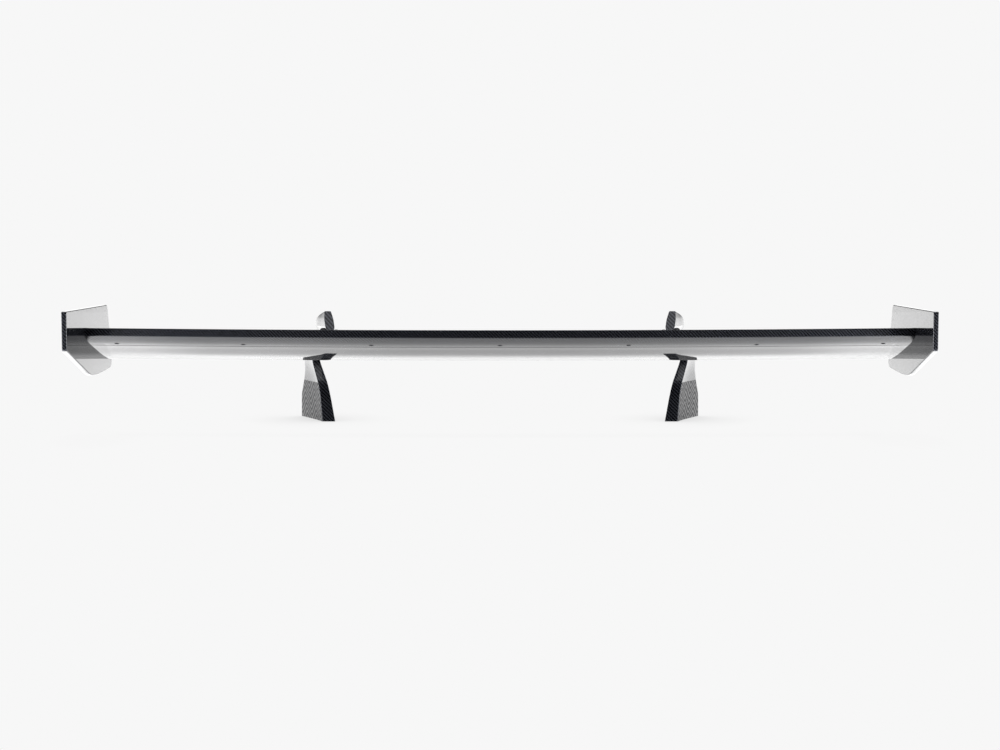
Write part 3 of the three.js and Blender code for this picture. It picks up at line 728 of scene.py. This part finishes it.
def both_sides(obj, body, node, cloth=False):
    """Settles a right-hand piece and its mirror image."""
    other = mirrored(obj, obj.name.replace("_right", "_left"))
    for piece, side in ((obj, "right"), (other, "left")):
        if cloth:
            lay_cloth(piece)
        settle(piece, body, f"{node}_{side}")


# ---------------------------------------------------------------- uprights

PLAN_CURVE = spline(UPRIGHT_PLAN)


def ramp(value, low, high):
    """0 to 1 as the value goes from low to high."""
    return min(max((value - low) / (high - low), 0), 1)


def blend(a, b, share):
    """A number between a and b."""
    return a + (b - a) * share


def leg_x(y, z):
    """Middle of the right upright: its plan line, leaned a little with height."""
    forward = ramp(y, NECK_REAR, NECK_FRONT)
    lean = blend(HEAD_LEAN, LEG_LEAN, forward)
    return height_at(PLAN_CURVE, y) + lean * (z - blend(PIVOT[1], LEG_PLUMB_Z, forward))


def leg_thickness(z):
    """The upright's thickness across the car at a height."""
    thickness = FOOT_THICKNESS
    for low, high, after in THICKNESS_STEPS:
        thickness = blend(thickness, after, ramp(z, low, high))
    return thickness


def upright_ring(station, across=12, corner=1.8, corner_steps=3):
    """One closed ring round the plate at a station, with rounded corners."""
    front, rear = Vector(station[:2]), Vector(station[2:])
    width = (front - rear).length
    rows = [corner * (1 - math.cos(math.pi / 2 * k / corner_steps)) for k in range(corner_steps)]
    insets = [corner * (1 - math.sin(math.pi / 2 * k / corner_steps)) for k in range(corner_steps)]
    inner = [corner + (width - 2 * corner) * k / across for k in range(across + 1)]
    places = [(d, i) for d, i in zip(rows, insets)] + [(d, 0) for d in inner]
    places += [(width - d, i) for d, i in reversed(list(zip(rows, insets)))]
    ring = []
    for side, order in ((-1, places), (1, places[::-1])):
        for distance, drawn_in in order:
            y, z = rear.lerp(front, distance / width)
            ring.append(Vector((leg_x(y, z) + side * (leg_thickness(z) / 2 - drawn_in), y, z)))
    return ring


def rod(place, radius, length):
    """A plain cylinder along X, through the upright's middle at a place in Y and Z."""
    bm = bmesh.new()
    centre = Vector((leg_x(place[0], PIVOT[1]), place[0], place[1]))
    soft = 0.8
    profile = [(0, -length / 2), (radius - soft, -length / 2), (radius, -length / 2 + soft),
               (radius, length / 2 - soft), (radius - soft, length / 2), (0, length / 2)]
    turned(bm, profile, aim(centre, Vector((1, 0, 0))), 48)
    return finish_mesh("cutter", bm)


def foot_pocket():
    """The recess for the foot plate, open below the boot."""
    low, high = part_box("foot_plate_right")
    low, high = low / MM - DRAWN_AT, high / MM - DRAWN_AT
    half = FOOT_PLATE_HALF_WIDTH + GAP
    under, top = FOOT_Z - 3, high.z + GAP
    rings = []
    for y in (low.y - GAP, high.y + GAP):
        x = leg_x(y, FOOT_Z)
        rings.append([Vector((x - half, y, under)), Vector((x + half, y, under)),
                      Vector((x + half, y, top)), Vector((x - half, y, top))])
    bm = bmesh.new()
    loft(bm, rings)
    return finish_mesh("cutter", bm)


def build_uprights():
    """The swan necks with their head bosses, bores and foot pockets."""
    bm = bmesh.new()
    loft(bm, [upright_ring(station) for station in spline(UPRIGHT_STATIONS, 5)])
    leg = finish_mesh("swan_neck_right", bm, [UPRIGHT_CARBON])
    bosses = [rod(PIVOT, PIVOT_BOSS, HEAD_BOSS), rod(CLAMP, CLAMP_BOSS, HEAD_BOSS)]
    bores = [rod(PIVOT, BUSH_RADIUS + GAP, THROUGH), rod(CLAMP, CLAMP_SHANK + GAP, THROUGH)]
    leg = combined(leg, bosses, "UNION")
    leg = combined(leg, [*bores, foot_pocket()], "DIFFERENCE", 38)
    both_sides(leg, "uprights", "upright", cloth=True)


# ---------------------------------------------------------------- fasteners at the heads

def nut(name, matrix, bore, corners, height):
    """A hexagonal nut with its corners turned off at both faces."""
    bm = bmesh.new()
    hex_prism(bm, matrix, corners, 0, height)
    body = finish_mesh(name, bm, [STEEL])
    chamfer = bmesh.new()
    face, clear = corners * 0.985 * 0.93, corners * 1.02
    turned(chamfer, [(0, -0.01), (face, -0.01), (clear, height * 0.12), (clear, height * 0.88),
                     (face, height + 0.01), (0, height + 0.01)], matrix)
    hole = bmesh.new()
    turned(hole, [(0, -1), (bore, -1), (bore, height + 1), (0, height + 1)], matrix)
    body = combined(body, [finish_mesh("cutter", chamfer)], "INTERSECT")
    return combined(body, [finish_mesh("cutter", hole)], "DIFFERENCE", 30)


def cross_bolt(label, place, shank, head, corners):
    """A bolt with a domed socket head through the lugs and an upright, and its nut on the inner side."""
    grip = 2 * (LUG_OUTER + GAP)
    x = leg_x(place[0], PIVOT[1])
    length = grip + shank * 1.5 + 2
    tall = shank * 1.1
    outer = aim(Vector((x + grip / 2, *place)), Vector((1, 0, 0)))
    inner = aim(Vector((x - grip / 2, *place)), Vector((-1, 0, 0)))
    profile = [(0, -length), (shank - 0.6, -length), (shank, -length + 0.6), (shank, 0),
               (head - 0.3, 0), (head, 0.3), (head * 0.97, tall * 0.42), (head * 0.88, tall * 0.68),
               (head * 0.72, tall * 0.88), (head * 0.52, tall), (0, tall)]
    bolt = socketed(f"{label}_bolt_head_right", profile, outer, shank * 0.62, tall * 0.35, tall + 1, STEEL)
    both_sides(bolt, "uprights", f"{label}_bolt")
    hex_nut = nut(f"{label}_hex_nut_right", inner, shank + GAP, corners, shank * 1.5)
    both_sides(hex_nut, "uprights", f"{label}_nut")


# ---------------------------------------------------------------- CAD pieces that stay

def dress_cad():
    """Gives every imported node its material, and softens the edges of the plain metal ones."""
    slots = {"inner_carbon": BARE, "black_alloy": BLACK_ALLOY, "alloy": ALLOY, "steel": STEEL,
             "black_steel": BLACK_STEEL, "bronze": BRONZE, "gloss_carbon": CARBON}
    for part in frame["record"]["subparts"]:
        obj = frame["nodes"][part["node"]]
        obj.data.materials.clear()
        obj.data.materials.append(slots[part["material_slot"]])
        if part["node"].startswith(("angle_bracket", "foot_")):
            soften = obj.modifiers.new("soften", "BEVEL")
            soften.width = 0.0004
            soften.segments = 2
            soften.limit_method = "ANGLE"
            soften.angle_limit = math.radians(35)


# ---------------------------------------------------------------- studio

def floor_glow(g):
    """How bright the lacquer mirrors the floor, by where a ray lands and how it came; lengths in metres."""
    at = g.axes(g.node("NewGeometry").outputs["Position"])
    heading = g.axes(g.node("NewGeometry").outputs["Incoming"])
    length = g.node("LightPath").outputs["Ray Length"]
    span = g.math("ABSOLUTE", at[0])
    turn = g.math("ABSOLUTE", heading[0])
    straight = g.step(turn, 0.35, 0.50, 1.0, 0.0)
    sideways = g.step(turn, 0.45, 0.62, 0.0, 1.0)

    # Brighter towards the tips, ahead of the wing and outboard of it
    level = g.plus(g.step(span, 0.15, 0.70, 0.90, 1.25), g.step(span, 0.62, 0.85, 0.0, 0.55),
                   g.step(at[1], 0.20, 0.42, 0.0, 0.95))
    wing_tips = g.times(g.step(span, 0.90, 1.05, 0.0, 1.0), g.step(at[1], 0.8, 1.4, 1.0, 0.0), straight)
    level = g.math("MINIMUM", level, g.plus(wing_tips, 1.95))
    outboard = g.times(g.step(span, 0.86, 0.885, 0.0, 1.7), g.step(at[1], 0.10, 0.25, 1.0, 0.0))
    beside = g.times(sideways, g.step(length, 2.2, 3.4, 1.1, 0.25))
    glow = g.plus(g.times(level, g.plus(beside, 1.0)), outboard)

    # Dimmer for rays that come far, come from close beside, land well ahead or head back to the camera
    far = g.times(g.step(length, 0.6, 1.4, 0.0, 0.42), g.step(turn, 0.10, 0.23, 1.0, -0.30))
    close = g.times(sideways, g.step(length, 0.65, 1.35, 0.38, 0.0))
    ahead = g.times(g.step(at[1], 0.36, 0.52, 0.0, 0.30), g.step(at[1], 1.0, 1.8, 1.0, 0.0), straight)
    backward = g.step(heading[1], 0.72, 0.95, 0.0, 0.98)
    for dimming in (far, close, ahead, backward):
        glow = g.times(glow, g.math("SUBTRACT", 1.0, dimming))
    return glow


def floor_material():
    """Even to the eye but for a soft contact shadow, graded in reflections, and clear from below."""
    g = material_graph("studio_floor")
    contact = g.node("AmbientOcclusion", {"Distance": 0.16}).outputs["AO"]
    seen = g.node("Emission", {"Strength": g.slope(contact, 0.3, 1.0, 0.70, SEEN_LEVEL)}).outputs[0]
    reflected = g.node("Emission", {"Strength": floor_glow(g)}).outputs[0]
    either = g.blend(g.node("LightPath").outputs["Is Camera Ray"], reflected, seen)
    below = g.node("NewGeometry").outputs["Backfacing"]
    return g.end(g.blend(below, either, g.node("BsdfTransparent").outputs[0]))


def pale_floor():
    """The floor's one face, just under the feet and looking up."""
    bm = bmesh.new()
    half = FLOOR_SIZE / 2
    corners = [(-half, -half), (half, -half), (half, half), (-half, half)]
    bm.faces.new([bm.verts.new((x, y, FOOT_Z - FLOOR_DROP)) for x, y in corners])
    floor = finish_mesh("floor", bm, [floor_material()])
    if floor.data.polygons[0].normal.z < 0:
        floor.data.flip_normals()


def studio_world():
    """Pale surroundings, graded in reflections and dark behind the camera, with a softbox overhead."""
    world = bpy.data.worlds.new("studio")
    bpy.context.scene.world = world
    g = Graph(world)
    way = g.axes(g.node("TexCoord").outputs["Generated"])
    round_about = g.slope(way[1], -0.5, 0.3, 1.0, 2.05)
    sideways = g.step(g.math("ABSOLUTE", way[0]), 0.45, 0.62, 1.0, 1.2)
    behind = g.step(way[1], -0.95, -0.72, 0.02, 1.0)
    above = g.step(way[2], 0.0, 0.12, 1.0, 0.15)
    softbox = g.step(way[2], 0.70, 0.85, 0.0, 0.8)
    mirrored_level = g.plus(g.times(round_about, sideways, behind, above), softbox)
    path = g.node("LightPath").outputs
    unseen = g.choose(path["Is Glossy Ray"], 0.6, mirrored_level)
    level = g.choose(path["Is Camera Ray"], unseen, SEEN_LEVEL)
    shade_node = g.node("Background", {"Color": (1, 1, 1, 1), "Strength": level})
    g.end(shade_node.outputs[0], "OutputWorld")


def soft_light(name, place, target, size, power):
    """A rectangular lamp aimed at a target, placed in metres."""
    data = bpy.data.lights.new(name, "AREA")
    data.shape = "RECTANGLE"
    data.size, data.size_y = size
    data.energy = power
    light = bpy.data.objects.new(name, data)
    bpy.context.scene.collection.objects.link(light)
    light.location = place
    light.rotation_euler = (Vector(target) - Vector(place)).to_track_quat("-Z", "Y").to_euler()


def rear_camera():
    """Behind the car, a little above the wing, looking forward and slightly down."""
    data = bpy.data.cameras.new("camera")
    data.sensor_width = 36
    data.lens = CAMERA_LENS
    camera = bpy.data.objects.new("camera", data)
    bpy.context.scene.collection.objects.link(camera)
    camera.location = (CAMERA_AT + DRAWN_AT) * MM
    camera.rotation_euler = (math.radians(90 - CAMERA_DIP), 0, 0)
    bpy.context.scene.camera = camera


build_plane()
build_endplates()
build_uprights()
cross_bolt("pivot", PIVOT, PIVOT_SHANK, head=7, corners=7.4)
cross_bolt("clamp", CLAMP, CLAMP_SHANK, head=5.5, corners=5.7)
dress_cad()
pale_floor()
studio_world()
soft_light("overhead", place=(0, 0.3, 2.6), target=(0, 0, 0.1), size=(3.2, 2.0), power=16)
rear_camera()
bpy.context.scene.view_settings.view_transform = "Standard"
